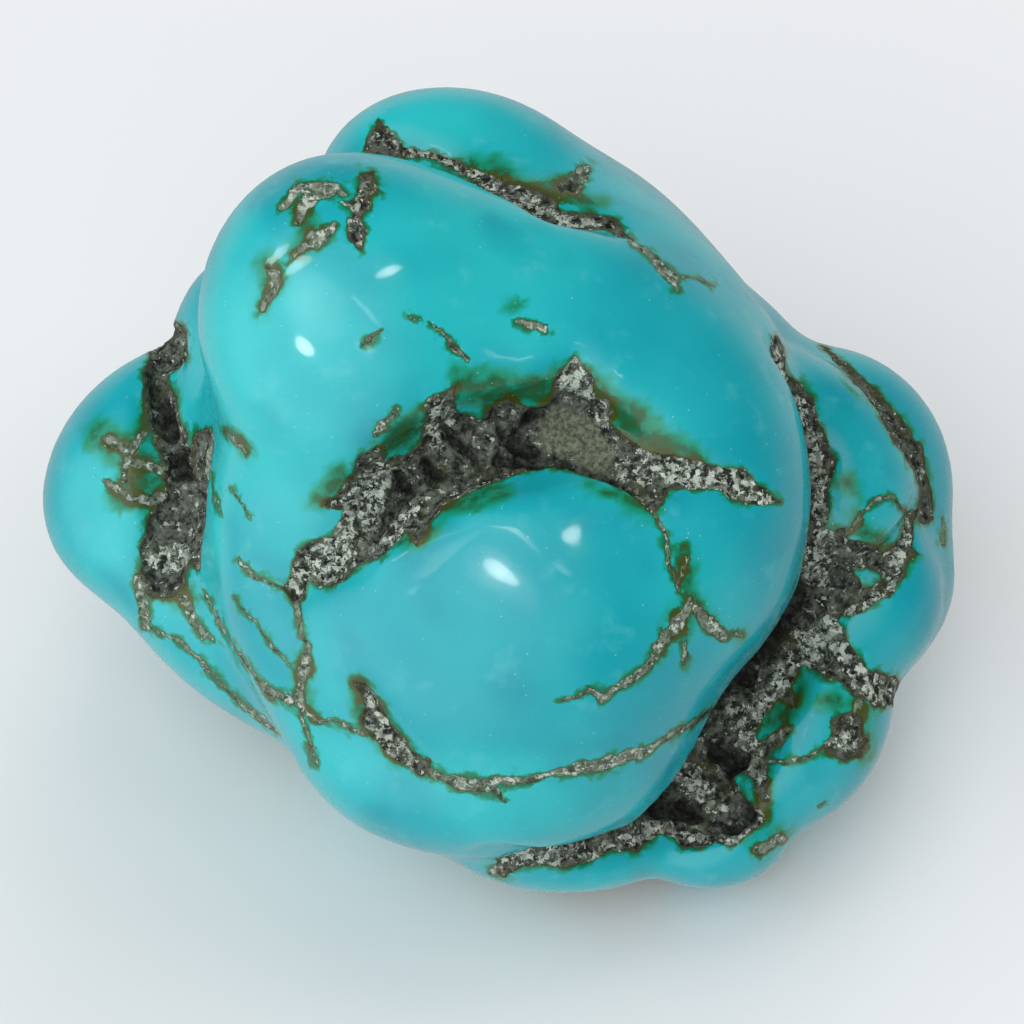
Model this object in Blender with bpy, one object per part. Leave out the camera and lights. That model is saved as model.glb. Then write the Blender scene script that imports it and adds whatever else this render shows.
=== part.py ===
"""A raw turquoise nugget: one lumpy, polished stone that rests on a worn foot.

The stone is one solid. It is described in a leaning sketch frame in millimetres, u to the right,
v up the lean and w out of the face, as rounded lobes that grow together with furrows worn into
the seams between them. The sketch is then stood up on the floor, +Z up, face towards -Y.
"""

import math

import bmesh
import bpy
import numpy as np

MM = 0.001

LEAN = math.radians(50)  # how far the face leans back from upright
FOOT = -22.0  # height of the floor below the sketch's origin
FOOT_ROUNDING = 0.8
MIDDLE = (-0.56, 6.17)

GRID = 0.7  # spacing of the sampling grid
REACH = ((-27, 27), (-16, 30), (-25, 18))  # box that holds the stone, level frame
TRIANGLES = 9000

COLOUR = (0.05, 0.42, 0.46, 1)  # turquoise blue, linear
ROUGHNESS = 0.22

FULLNESS = 2.7  # 2 makes each lobe an ellipsoid, and more a fuller one with a flatter face
EDGE = 0.9  # rounding of a furrow's banks

# name, centre (u, v, w), radii, turn about w in degrees, blend with the lobes before it
LOBES = (
    ("core", (-0.6, -0.4, -10.0), (15.0, 13.0, 9.5), -20, 0),
    ("shoulder", (-4.3, 3.8, -9.0), (12.0, 12.0, 9.0), 0, 3.0),
    ("rear", (0.5, 1.5, -15.0), (14.5, 11.5, 9.0), -15, 3.0),
    ("right side", (13.4, -4.0, -12.5), (8.2, 9.4, 7.4), 0, 2.0),
    ("left side", (-13.2, -0.4, -12.0), (9.5, 7.0, 7.6), -40, 2.0),
    ("underside", (4.8, -13.0, -10.5), (10.0, 5.3, 6.5), 0, 2.0),
    ("crown", (-8.3, 9.5, 0.5), (7.3, 8.3, 8.5), 0, 2.0),
    ("face", (5.1, 1.6, -2.5), (9.9, 11.6, 9.0), 10, 4.0),
    ("brow", (-1.9, 6.7, -2.2), (9.0, 9.0, 9.0), 0, 5.0),
    ("left flank", (-9.0, -3.0, -4.0), (6.0, 9.5, 8.0), 10, 4.0),
    ("chin", (-0.6, -11.7, -4.0), (9.5, 5.8, 8.0), 5, 4.0),
    ("knob", (-0.6, -5.3, 0.0), (9.6, 7.6, 7.8), -12, 3.2),
    ("back shoulder", (0.5, 12.4, -13.0), (10.0, 7.0, 7.6), -25, 2.5),
    ("back top", (-3.2, 15.9, -10.0), (7.2, 6.2, 7.5), -14, 1.2),
    ("ridge", (4.9, 10.5, -8.8), (10.6, 5.6, 8.0), -41, 4.5),
    ("right rear", (16.2, 1.2, -14.0), (7.3, 7.7, 6.5), 0, 1.2),
    ("right rear low", (18.2, -3.4, -14.0), (5.4, 5.6, 5.5), 0, 1.2),
    ("right cheek", (14.3, 1.9, -9.5), (7.8, 6.1, 7.0), -45, 0.8),
    ("right knuckle", (17.8, -4.2, -10.5), (4.8, 5.0, 5.5), 0, 0.8),
    ("right hip", (14.2, -11.1, -10.5), (6.4, 5.2, 6.5), 50, 1.0),
    ("right toe", (10.4, -16.5, -9.0), (4.2, 3.1, 5.0), 5, 1.0),
    ("front toe", (2.5, -17.3, -8.0), (5.6, 2.4, 5.0), -2, 1.0),
    ("left cheek", (-17.9, 2.2, -12.0), (7.6, 6.0, 7.0), 45, 1.2),
    ("left hip", (-14.2, -5.1, -11.0), (8.6, 4.8, 6.5), -42, 2.5),
    ("left temple", (-12.4, 8.8, -10.5), (5.4, 5.4, 6.0), 0, 1.6),
    ("rear left", (-9.0, 2.4, -17.0), (9.0, 9.0, 7.6), 20, 1.5),
    ("rear right", (7.8, 6.4, -16.5), (10.0, 7.5, 8.4), -30, 1.5),
    ("rear crown", (-5.4, 9.8, -15.5), (8.0, 6.5, 7.5), 20, 2.2),
    ("rear waist", (9.6, -3.8, -16.5), (7.6, 6.5, 7.2), 25, 1.8),
    ("foot", (-1.5, -7.4, -16.5), (10.8, 7.6, 7.6), 4, 1.5),
)

# name, points (u, v, radius, depth) along the furrow, worn into the face
FACE_FURROWS = (
    (
        "crevice",
        (
            (-10.6, -4.1, 0.6, 0.4),
            (-9.4, -2.6, 1.0, 0.8),
            (-8.2, -1.6, 1.5, 1.2),
            (-6.2, 0.3, 1.7, 1.5),
            (-4.0, 2.0, 2.1, 2.0),
            (-1.6, 3.0, 2.3, 2.4),
            (0.9, 3.4, 2.4, 2.6),
            (3.0, 3.8, 2.2, 2.4),
            (5.2, 3.1, 1.7, 1.7),
            (7.4, 2.0, 1.1, 1.0),
            (9.7, 1.6, 0.7, 0.6),
            (11.4, 1.1, 0.7, 0.5),
        ),
    ),
    ("crevice peak", ((3.0, 7.3, 0.5, 0.4), (3.1, 5.4, 1.2, 1.0), (2.3, 4.0, 1.6, 2.0))),
    (
        "gully",
        (
            (15.9, -4.3, 1.6, 1.2),
            (14.3, -6.6, 2.0, 1.8),
            (12.5, -9.1, 2.0, 2.2),
            (11.1, -11.9, 2.5, 2.4),
            (9.7, -14.3, 2.5, 2.2),
            (8.4, -15.5, 2.0, 1.7),
        ),
    ),
    (
        "left groove",
        (
            (-17.7, 8.4, 1.2, 0.7),
            (-18.2, 6.0, 1.2, 0.8),
            (-17.3, 2.9, 1.5, 1.0),
            (-16.9, 0.4, 2.0, 1.2),
            (-17.8, -2.2, 1.7, 1.1),
        ),
    ),
    (
        "top groove",
        (
            (-6.5, 19.0, 0.9, 0.6),
            (-3.6, 17.6, 0.6, 0.5),
            (-0.4, 16.1, 0.8, 0.7),
            (1.9, 15.0, 1.0, 0.8),
            (4.8, 14.3, 0.7, 0.5),
        ),
    ),
    (
        "right band",
        (
            (16.3, -4.1, 1.1, 0.9),
            (18.4, -3.2, 0.9, 0.8),
            (20.0, -1.7, 0.8, 0.7),
            (20.9, 0.0, 0.7, 0.6),
        ),
    ),
    (
        "right groove",
        (
            (13.2, 8.1, 0.7, 0.5),
            (14.6, 5.4, 0.8, 0.6),
            (15.8, 2.6, 0.9, 0.7),
            (15.9, 0.1, 0.8, 0.6),
            (16.2, -1.9, 1.2, 0.8),
        ),
    ),
    (
        "toe band",
        (
            (-0.9, -17.0, 0.9, 0.6),
            (1.4, -17.2, 0.8, 0.6),
            (4.0, -17.2, 0.9, 0.7),
            (5.8, -17.0, 0.9, 0.7),
        ),
    ),
    (
        "chin patch",
        (
            (-7.1, -8.8, 0.5, 0.35),
            (-6.4, -10.6, 0.8, 0.5),
            (-4.8, -12.4, 0.6, 0.4),
            (-3.9, -12.9, 0.4, 0.3),
        ),
    ),
)

# the same, worn into the rear
REAR_FURROWS = (
    (
        "rear valley",
        (
            (-3.6, 6.0, 0.8, 0.5),
            (-1.2, 3.0, 1.4, 1.1),
            (0.4, 0.2, 1.8, 1.6),
            (2.6, -1.6, 1.5, 1.2),
            (5.0, -4.4, 1.0, 0.7),
        ),
    ),
    (
        "rear nick",
        (
            (-12.0, -3.0, 0.7, 0.5),
            (-9.6, -4.2, 1.2, 0.9),
            (-6.8, -3.6, 1.3, 1.0),
            (-3.4, -1.6, 1.1, 0.8),
        ),
    ),
)


def soft_min(a, b, blend):
    """The smaller of two fields, rounded off where they are within blend of each other."""
    if blend == 0:
        return np.minimum(a, b)
    overlap = np.maximum(blend - np.abs(a - b), 0)
    return np.minimum(a, b) - overlap**2 / (4 * blend)


def soft_max(a, b, blend):
    return -soft_min(-a, -b, blend)


def lobe_field(points, centre, radii, turn):
    """Distance, roughly, from each point to one lobe: negative inside it.

    Seen along w a lobe is an ellipse. Along w it is fuller than one, with a flatter face.
    """
    c, s = math.cos(math.radians(turn)), math.sin(math.radians(turn))
    local = (points - centre) @ np.array(((c, -s, 0), (s, c, 0), (0, 0, 1)))
    scaled = local / radii
    across = np.maximum(np.hypot(scaled[:, 0], scaled[:, 1]), 1e-6)
    along = np.maximum(np.abs(scaled[:, 2]), 1e-6)
    size = (across**FULLNESS + along**FULLNESS) ** (1 / FULLNESS)
    tilt = np.hypot(scaled[:, 0] / radii[0], scaled[:, 1] / radii[1]) / across
    slope = np.hypot(tilt * across ** (FULLNESS - 1), along ** (FULLNESS - 1) / radii[2])
    return (size - 1) * size ** (FULLNESS - 1) / slope


def height(points):
    """Height of sketch points in the level frame."""
    return points[:, 1] * math.cos(LEAN) + points[:, 2] * math.sin(LEAN)


def lumps(points):
    """The lobes grown together and ground flat underneath, before the furrows."""
    field = None
    for _, centre, radii, turn, blend in LOBES:
        lobe = lobe_field(points, centre, radii, turn)
        field = lobe if field is None else soft_min(field, lobe, blend)
    return soft_max(field, FOOT - height(points), FOOT_ROUNDING)


def slope_of(field, points, step=0.05):
    """Gradient of a field by central differences."""
    axes = step * np.eye(3)
    rises = [field(points + axis) - field(points - axis) for axis in axes]
    return np.stack(rises, axis=1) / (2 * step)


def furrow_line(path, side):
    """Ball centres and radii of a furrow dropped on the stone from the front (1) or rear (-1)."""
    path = np.array(path)
    points = np.stack((path[:, 0], path[:, 1], np.full(len(path), side * 30.0)), axis=1)
    for _ in range(80):
        points[:, 2] -= side * 0.7 * lumps(points)
    slope = slope_of(lumps, points)
    out = slope / np.linalg.norm(slope, axis=1, keepdims=True)
    radii, depths = path[:, 2], path[:, 3]
    return points + out * (radii - depths)[:, None], radii


def furrow_field(points, centres, radii):
    """Distance from each point to a furrow's chain of tapering rods."""
    field = np.full(len(points), np.inf)
    for start, end, thick, thin in zip(centres, centres[1:], radii, radii[1:]):
        run = end - start
        along = np.clip((points - start) @ run / (run @ run), 0, 1)
        gap = np.linalg.norm(points - start - along[:, None] * run, axis=1)
        field = soft_min(field, gap - thick - (thin - thick) * along, 0.6)
    return field


def stone_field():
    """The whole stone's field, as a function of sketch points."""
    lines = [furrow_line(path, 1) for _, path in FACE_FURROWS]
    lines += [furrow_line(path, -1) for _, path in REAR_FURROWS]

    def field(points):
        value = lumps(points)
        for centres, radii in lines:
            value = soft_max(value, -furrow_field(points, centres, radii), EDGE)
        return value

    return field


def to_sketch(level):
    """Level points (x right, y back, z up) in the leaning sketch frame."""
    x, y, z = level.T
    v = y * math.sin(LEAN) + z * math.cos(LEAN)
    w = z * math.sin(LEAN) - y * math.cos(LEAN)
    return np.stack((x, v, w), axis=1)


def fill_pinches(inside):
    """Fills each grid square that is solid on one diagonal only, where the net would touch itself."""
    filled = -1
    while filled != inside.sum():
        filled = inside.sum()
        for axis in range(3):
            side = np.moveaxis(inside, axis, 0)
            corners = (side[:, :-1, :-1], side[:, 1:, :-1], side[:, :-1, 1:], side[:, 1:, 1:])
            a, b, c, d = corners
            pinched = (a == d) & (b == c) & (a != b)
            for corner in corners:
                corner |= pinched


def wrap_grid(field):
    """Points and quads of a net of grid cells that wraps the stone, in the level frame."""
    axes = [np.arange(low, high, GRID) for low, high in REACH]
    grid = np.stack(np.meshgrid(*axes, indexing="ij"), axis=-1)
    inside = (field(to_sketch(grid.reshape(-1, 3))) < 0).reshape(grid.shape[:3])
    fill_pinches(inside)

    cells = np.array(inside.shape) - 1
    full = np.zeros(cells, int)
    for i, j, k in np.ndindex(2, 2, 2):
        full += inside[i : i + cells[0], j : j + cells[1], k : k + cells[2]]
    crossed = (full > 0) & (full < 8)
    number = np.full(cells, -1)
    number[crossed] = np.arange(crossed.sum())
    points = grid[:-1, :-1, :-1][crossed] + GRID / 2

    quads = []
    for axis in range(3):
        side = np.moveaxis(inside, axis, 0)
        cell = np.moveaxis(number, axis, 0)
        i, j, k = np.nonzero(side[1:] != side[:-1])
        ring = (cell[i, j - 1, k - 1], cell[i, j, k - 1], cell[i, j, k], cell[i, j - 1, k])
        quads.append(np.stack(ring, axis=1))
    return points, np.concatenate(quads)


def settle(points, field, steps):
    """Slides points straight onto the stone's surface."""
    for _ in range(steps):
        sketch = to_sketch(points)
        value = field(sketch)
        slope = slope_of(lambda at: field(to_sketch(at)), points)
        points = points - slope * (value / np.maximum((slope**2).sum(axis=1), 0.2))[:, None]
    return points


def coordinates(mesh):
    flat = np.empty(3 * len(mesh.vertices))
    mesh.vertices.foreach_get("co", flat)
    return flat.reshape(-1, 3)


def place(mesh, points):
    mesh.vertices.foreach_set("co", points.ravel())
    mesh.update()


def smoothed(mesh):
    """Evens out the net's points along the surface."""
    bm = bmesh.new()
    bm.from_mesh(mesh)
    bmesh.ops.smooth_vert(bm, verts=bm.verts, factor=0.5, use_axis_x=True, use_axis_y=True, use_axis_z=True)
    bmesh.ops.recalc_face_normals(bm, faces=bm.faces)
    bm.to_mesh(mesh)
    bm.free()


def thinned(obj):
    """Collapses edges until the stone has TRIANGLES faces, most of them left in the creases."""
    quads = len(obj.data.polygons)
    modifier = obj.modifiers.new("thin", "DECIMATE")
    modifier.ratio = TRIANGLES / (2 * quads)
    graph = bpy.context.evaluated_depsgraph_get()
    mesh = bpy.data.meshes.new_from_object(obj.evaluated_get(graph))
    obj.modifiers.clear()
    return mesh


def turquoise():
    material = bpy.data.materials.new("turquoise")
    material.use_nodes = True
    shader = material.node_tree.nodes["Principled BSDF"]
    shader.inputs["Base Color"].default_value = COLOUR
    shader.inputs["Roughness"].default_value = ROUGHNESS
    shader.inputs["Metallic"].default_value = 0
    return material


def nugget():
    """The stone, in metres, standing on z = 0 with its middle over the origin."""
    field = stone_field()
    points, quads = wrap_grid(field)
    mesh = bpy.data.meshes.new("turquoise_nugget")
    mesh.from_pydata(points.tolist(), [], quads.tolist())
    for _ in range(3):
        smoothed(mesh)
        place(mesh, settle(coordinates(mesh), field, 2))
    smoothed(mesh)

    obj = bpy.data.objects.new("turquoise_nugget", mesh)
    bpy.context.scene.collection.objects.link(obj)
    bpy.context.view_layer.update()
    obj.data = thinned(obj)
    bpy.data.meshes.remove(mesh)

    points = coordinates(obj.data) - (*MIDDLE, FOOT)
    on_foot = points[:, 2] < 0.06
    points[on_foot, 2] = 0
    place(obj.data, points * MM)
    obj.data.name = "turquoise_nugget"
    obj.data.materials.append(turquoise())
    return obj


for old in list(bpy.data.objects):
    bpy.data.objects.remove(old, do_unlink=True)

nugget()
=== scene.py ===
"""The looks of the raw turquoise nugget: its fine relief, its matrix and veins, and its polish."""

import math

import bmesh
import bpy
import numpy as np
from mathutils import Matrix, Vector


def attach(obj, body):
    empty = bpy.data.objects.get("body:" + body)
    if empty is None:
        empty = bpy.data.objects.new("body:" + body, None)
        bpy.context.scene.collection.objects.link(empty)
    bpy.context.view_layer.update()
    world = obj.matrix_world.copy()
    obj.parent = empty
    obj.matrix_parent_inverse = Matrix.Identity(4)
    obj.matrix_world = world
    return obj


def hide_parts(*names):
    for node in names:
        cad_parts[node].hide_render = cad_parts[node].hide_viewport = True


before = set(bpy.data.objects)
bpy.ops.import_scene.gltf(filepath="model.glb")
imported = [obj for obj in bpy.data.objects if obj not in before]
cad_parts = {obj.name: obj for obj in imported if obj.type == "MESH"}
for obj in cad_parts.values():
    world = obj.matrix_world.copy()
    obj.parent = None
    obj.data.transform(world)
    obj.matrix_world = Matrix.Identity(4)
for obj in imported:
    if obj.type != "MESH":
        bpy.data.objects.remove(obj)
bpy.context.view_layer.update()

MM = 0.001

# ---- the stone's form, as in the CAD: a leaning sketch frame in millimetres, u right, v up, w out ----

LEAN = math.radians(50)
FOOT = -22.0
FOOT_ROUNDING = 0.8
MIDDLE = (-0.56, 6.17)
FULLNESS = 2.7  # of a lobe's side view: 2 is an ellipse, more is squarer
EDGE = 0.9
GRID = 0.6
REACH = ((-27, 27), (-16, 30), (-25, 18))
DROP_FROM = 30.0  # a furrow's points start this far out and close in on the stone a share at a time
DROP = 0.7
DROP_STEPS = 80
ROD_BLEND = 0.6
LEAST_SLOPE = 0.2

# name, centre (u, v, w), radii, turn about w in degrees, blend with the lobes before it
LOBES = (
    ("core", (-0.6, -0.4, -10.0), (15.0, 13.0, 9.5), -20, 0),
    ("shoulder", (-4.3, 3.8, -9.0), (12.0, 12.0, 9.0), 0, 3.0),
    ("rear", (0.5, 1.5, -15.0), (14.5, 11.5, 9.0), -15, 3.0),
    ("right side", (13.4, -4.0, -12.5), (8.2, 9.4, 7.4), 0, 2.0),
    ("left side", (-13.2, -0.4, -12.0), (9.5, 7.0, 7.6), -40, 2.0),
    ("underside", (4.8, -13.0, -10.5), (10.0, 5.3, 6.5), 0, 2.0),
    ("crown", (-8.3, 9.5, 0.5), (7.3, 8.3, 8.5), 0, 2.0),
    ("face", (5.1, 1.6, -2.5), (9.9, 11.6, 9.0), 10, 4.0),
    ("brow", (-1.9, 6.7, -2.2), (9.0, 9.0, 9.0), 0, 5.0),
    ("left flank", (-9.0, -3.0, -4.0), (6.0, 9.5, 8.0), 10, 4.0),
    ("chin", (-0.6, -11.7, -4.0), (9.5, 5.8, 8.0), 5, 4.0),
    ("knob", (-0.6, -5.3, 0.0), (9.6, 7.6, 7.8), -12, 3.2),
    ("back shoulder", (0.5, 12.4, -13.0), (10.0, 7.0, 7.6), -25, 2.5),
    ("back top", (-3.2, 15.9, -10.0), (7.2, 6.2, 7.5), -14, 1.2),
    ("ridge", (4.9, 10.5, -8.8), (10.6, 5.6, 8.0), -41, 4.5),
    ("right rear", (16.2, 1.2, -14.0), (7.3, 7.7, 6.5), 0, 1.2),
    ("right rear low", (18.2, -3.4, -14.0), (5.4, 5.6, 5.5), 0, 1.2),
    ("right cheek", (14.3, 1.9, -9.5), (7.8, 6.1, 7.0), -45, 0.8),
    ("right knuckle", (17.8, -4.2, -10.5), (4.8, 5.0, 5.5), 0, 0.8),
    ("right hip", (14.2, -11.1, -10.5), (6.4, 5.2, 6.5), 50, 1.0),
    ("right toe", (10.4, -16.5, -9.0), (4.2, 3.1, 5.0), 5, 1.0),
    ("front toe", (2.5, -17.3, -8.0), (5.6, 2.4, 5.0), -2, 1.0),
    ("left cheek", (-17.9, 2.2, -12.0), (7.6, 6.0, 7.0), 45, 1.2),
    ("left hip", (-14.2, -5.1, -11.0), (8.6, 4.8, 6.5), -42, 2.5),
    ("left temple", (-12.4, 8.8, -10.5), (5.4, 5.4, 6.0), 0, 1.6),
    ("rear left", (-9.0, 2.4, -17.0), (9.0, 9.0, 7.6), 20, 1.5),
    ("rear right", (7.8, 6.4, -16.5), (10.0, 7.5, 8.4), -30, 1.5),
    ("rear crown", (-5.4, 9.8, -15.5), (8.0, 6.5, 7.5), 20, 2.2),
    ("rear waist", (9.6, -3.8, -16.5), (7.6, 6.5, 7.2), 25, 1.8),
    ("foot", (-1.5, -7.4, -16.5), (10.8, 7.6, 7.6), 4, 1.5),
)

# name, points (u, v, radius, depth) along the furrow, worn into the face
FACE_FURROWS = (
    ("crevice", (
        (-10.6, -4.1, 0.6, 0.4), (-9.4, -2.6, 1.0, 0.8), (-8.2, -1.6, 1.5, 1.2), (-6.2, 0.3, 1.7, 1.5),
        (-4.0, 2.0, 2.1, 2.0), (-1.6, 3.0, 2.3, 2.4), (0.9, 3.4, 2.4, 2.6), (3.0, 3.8, 2.2, 2.4),
        (5.2, 3.1, 1.7, 1.7), (7.4, 2.0, 1.1, 1.0), (9.7, 1.6, 0.7, 0.6), (11.4, 1.1, 0.7, 0.5),
    )),
    ("crevice peak", (
        (3.0, 7.3, 0.5, 0.4), (3.1, 5.4, 1.2, 1.0), (2.3, 4.0, 1.6, 2.0),
    )),
    ("gully", (
        (15.9, -4.3, 1.6, 1.2), (14.3, -6.6, 2.0, 1.8), (12.5, -9.1, 2.0, 2.2), (11.1, -11.9, 2.5, 2.4),
        (9.7, -14.3, 2.5, 2.2), (8.4, -15.5, 2.0, 1.7),
    )),
    ("left groove", (
        (-17.7, 8.4, 1.2, 0.7), (-18.2, 6.0, 1.2, 0.8), (-17.3, 2.9, 1.5, 1.0), (-16.9, 0.4, 2.0, 1.2),
        (-17.8, -2.2, 1.7, 1.1),
    )),
    ("top groove", (
        (-6.5, 19.0, 0.9, 0.6), (-3.6, 17.6, 0.6, 0.5), (-0.4, 16.1, 0.8, 0.7), (1.9, 15.0, 1.0, 0.8),
        (4.8, 14.3, 0.7, 0.5),
    )),
    ("right band", (
        (16.3, -4.1, 1.1, 0.9), (18.4, -3.2, 0.9, 0.8), (20.0, -1.7, 0.8, 0.7), (20.9, 0.0, 0.7, 0.6),
    )),
    ("right groove", (
        (13.2, 8.1, 0.7, 0.5), (14.6, 5.4, 0.8, 0.6), (15.8, 2.6, 0.9, 0.7), (15.9, 0.1, 0.8, 0.6),
        (16.2, -1.9, 1.2, 0.8),
    )),
    ("toe band", (
        (-0.9, -17.0, 0.9, 0.6), (1.4, -17.2, 0.8, 0.6), (4.0, -17.2, 0.9, 0.7), (5.8, -17.0, 0.9, 0.7),
    )),
    ("chin patch", (
        (-7.1, -8.8, 0.5, 0.35), (-6.4, -10.6, 0.8, 0.5), (-4.8, -12.4, 0.6, 0.4),
        (-3.9, -12.9, 0.4, 0.3),
    )),
)

# the same, worn into the rear
REAR_FURROWS = (
    ("rear valley", (
        (-3.6, 6.0, 0.8, 0.5), (-1.2, 3.0, 1.4, 1.1), (0.4, 0.2, 1.8, 1.6), (2.6, -1.6, 1.5, 1.2),
        (5.0, -4.4, 1.0, 0.7),
    )),
    ("rear nick", (
        (-12.0, -3.0, 0.7, 0.5), (-9.6, -4.2, 1.2, 0.9), (-6.8, -3.6, 1.3, 1.0), (-3.4, -1.6, 1.1, 0.8),
    )),
)


def soft_min(a, b, blend):
    """The smaller of two fields, rounded off where they are within blend of each other."""
    if blend == 0:
        return np.minimum(a, b)
    overlap = np.maximum(blend - np.abs(a - b), 0)
    return np.minimum(a, b) - overlap**2 / (4 * blend)


def soft_max(a, b, blend):
    return -soft_min(-a, -b, blend)


def lobe_field(points, centre, radii, turn):
    """Distance, roughly, from each point to one lobe: negative inside it.

    Seen along w a lobe is an ellipse. Along w it is fuller than one, with a flatter face.
    """
    c, s = math.cos(math.radians(turn)), math.sin(math.radians(turn))
    local = (points - centre) @ np.array(((c, -s, 0), (s, c, 0), (0, 0, 1)))
    scaled = local / radii
    across = np.maximum(np.hypot(scaled[:, 0], scaled[:, 1]), 1e-6)
    along = np.maximum(np.abs(scaled[:, 2]), 1e-6)
    size = (across**FULLNESS + along**FULLNESS) ** (1 / FULLNESS)
    tilt = np.hypot(scaled[:, 0] / radii[0], scaled[:, 1] / radii[1]) / across
    slope = np.hypot(tilt * across ** (FULLNESS - 1), along ** (FULLNESS - 1) / radii[2])
    return (size - 1) * size ** (FULLNESS - 1) / slope


def height(points):
    """Height of sketch points in the level frame."""
    return points[:, 1] * math.cos(LEAN) + points[:, 2] * math.sin(LEAN)


def lumps(points):
    """The lobes grown together and ground flat underneath, before the furrows."""
    field = None
    for _, centre, radii, turn, blend in LOBES:
        lobe = lobe_field(points, centre, radii, turn)
        field = lobe if field is None else soft_min(field, lobe, blend)
    return soft_max(field, FOOT - height(points), FOOT_ROUNDING)


def slope_of(field, points, step=0.05):
    """Gradient of a field by central differences."""
    axes = step * np.eye(3)
    rises = [field(points + axis) - field(points - axis) for axis in axes]
    return np.stack(rises, axis=1) / (2 * step)


def furrow_line(path, side):
    """Ball centres and radii of a furrow dropped on the stone from the front (1) or rear (-1)."""
    path = np.array(path)
    points = np.stack((path[:, 0], path[:, 1], np.full(len(path), side * DROP_FROM)), axis=1)
    for _ in range(DROP_STEPS):
        points[:, 2] -= side * DROP * lumps(points)
    slope = slope_of(lumps, points)
    out = slope / np.linalg.norm(slope, axis=1, keepdims=True)
    radii, depths = path[:, 2], path[:, 3]
    return points + out * (radii - depths)[:, None], radii


def furrow_field(points, centres, radii):
    """Distance from each point to a furrow's chain of tapering rods."""
    field = np.full(len(points), np.inf)
    for start, end, thick, thin in zip(centres, centres[1:], radii, radii[1:]):
        run = end - start
        along = np.clip((points - start) @ run / (run @ run), 0, 1)
        gap = np.linalg.norm(points - start - along[:, None] * run, axis=1)
        field = soft_min(field, gap - thick - (thin - thick) * along, ROD_BLEND)
    return field


def stone_field():
    """The whole stone's field, as a function of sketch points."""
    lines = [furrow_line(path, 1) for _, path in FACE_FURROWS]
    lines += [furrow_line(path, -1) for _, path in REAR_FURROWS]

    def field(points):
        value = lumps(points)
        for centres, radii in lines:
            value = soft_max(value, -furrow_field(points, centres, radii), EDGE)
        return value

    return field


def to_sketch(level):
    """Level points or directions (x right, y back, z up) in the leaning sketch frame."""
    x, y, z = level.T
    v = y * math.sin(LEAN) + z * math.cos(LEAN)
    w = z * math.sin(LEAN) - y * math.cos(LEAN)
    return np.stack((x, v, w), axis=1)


def fill_pinches(inside):
    """Fills each grid square that is solid on one diagonal only, where the net would touch itself."""
    filled = -1
    while filled != inside.sum():
        filled = inside.sum()
        for axis in range(3):
            side = np.moveaxis(inside, axis, 0)
            corners = (side[:, :-1, :-1], side[:, 1:, :-1], side[:, :-1, 1:], side[:, 1:, 1:])
            a, b, c, d = corners
            pinched = (a == d) & (b == c) & (a != b)
            for corner in corners:
                corner |= pinched


def wrap_grid(field):
    """Points and quads of a net of grid cells that wraps the stone, in the level frame."""
    axes = [np.arange(low, high, GRID) for low, high in REACH]
    grid = np.stack(np.meshgrid(*axes, indexing="ij"), axis=-1)
    inside = (field(to_sketch(grid.reshape(-1, 3))) < 0).reshape(grid.shape[:3])
    fill_pinches(inside)

    cells = np.array(inside.shape) - 1
    full = np.zeros(cells, int)
    for i, j, k in np.ndindex(2, 2, 2):
        full += inside[i : i + cells[0], j : j + cells[1], k : k + cells[2]]
    crossed = (full > 0) & (full < 8)
    number = np.full(cells, -1)
    number[crossed] = np.arange(crossed.sum())
    points = grid[:-1, :-1, :-1][crossed] + GRID / 2

    quads = []
    for axis in range(3):
        side = np.moveaxis(inside, axis, 0)
        cell = np.moveaxis(number, axis, 0)
        i, j, k = np.nonzero(side[1:] != side[:-1])
        ring = (cell[i, j - 1, k - 1], cell[i, j, k - 1], cell[i, j, k], cell[i, j - 1, k])
        quads.append(np.stack(ring, axis=1))
    return points, np.concatenate(quads)


def settle(points, field, steps):
    """Slides points straight onto the stone's surface."""
    for _ in range(steps):
        sketch = to_sketch(points)
        value = field(sketch)
        slope = slope_of(lambda at: field(to_sketch(at)), points)
        points = points - slope * (value / np.maximum((slope**2).sum(axis=1), LEAST_SLOPE))[:, None]
    return points


def coordinates(mesh):
    flat = np.empty(3 * len(mesh.vertices))
    mesh.vertices.foreach_get("co", flat)
    return flat.reshape(-1, 3)


def place(mesh, points):
    mesh.vertices.foreach_set("co", points.ravel())
    mesh.update()


# ---- the camera ----

IMAGE = 1024  # pixels across the picture
EYE = 200.0  # mm from the sketch's origin to the camera
PIXELS = 20.0  # per mm, at the sketch's origin
SENSOR = 36.0


def from_sketch(points):
    """Sketch points in level millimetres, standing on the floor."""
    u, v, w = np.asarray(points, float).T
    y = v * math.sin(LEAN) - w * math.cos(LEAN)
    z = v * math.cos(LEAN) + w * math.sin(LEAN)
    return np.stack((u, y, z), axis=1) - (*MIDDLE, FOOT)


def add_camera():
    data = bpy.data.cameras.new("camera")
    data.sensor_width = SENSOR
    data.lens = SENSOR * EYE * PIXELS / IMAGE
    data.clip_start = 0.01
    camera = bpy.data.objects.new("camera", data)
    bpy.context.scene.collection.objects.link(camera)
    across, up, back = (Vector(axis) for axis in from_sketch(np.eye(3)) - from_sketch([(0, 0, 0)]))
    turn = Matrix((across, up, back)).transposed().to_4x4()
    eye = Vector(from_sketch([(0, 0, EYE)])[0]) * MM
    camera.matrix_world = Matrix.Translation(eye) @ turn
    bpy.context.scene.camera = camera


def pixels(sketch):
    """Where the camera sees sketch points, in the picture's pixels."""
    near = EYE / (EYE - sketch[:, 2]) * PIXELS
    return IMAGE / 2 + sketch[:, 0] * near, IMAGE / 2 - sketch[:, 1] * near


# ---- marks: matrix patches (outlines), veins (points with half-widths), stains, all in pixels ----

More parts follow.
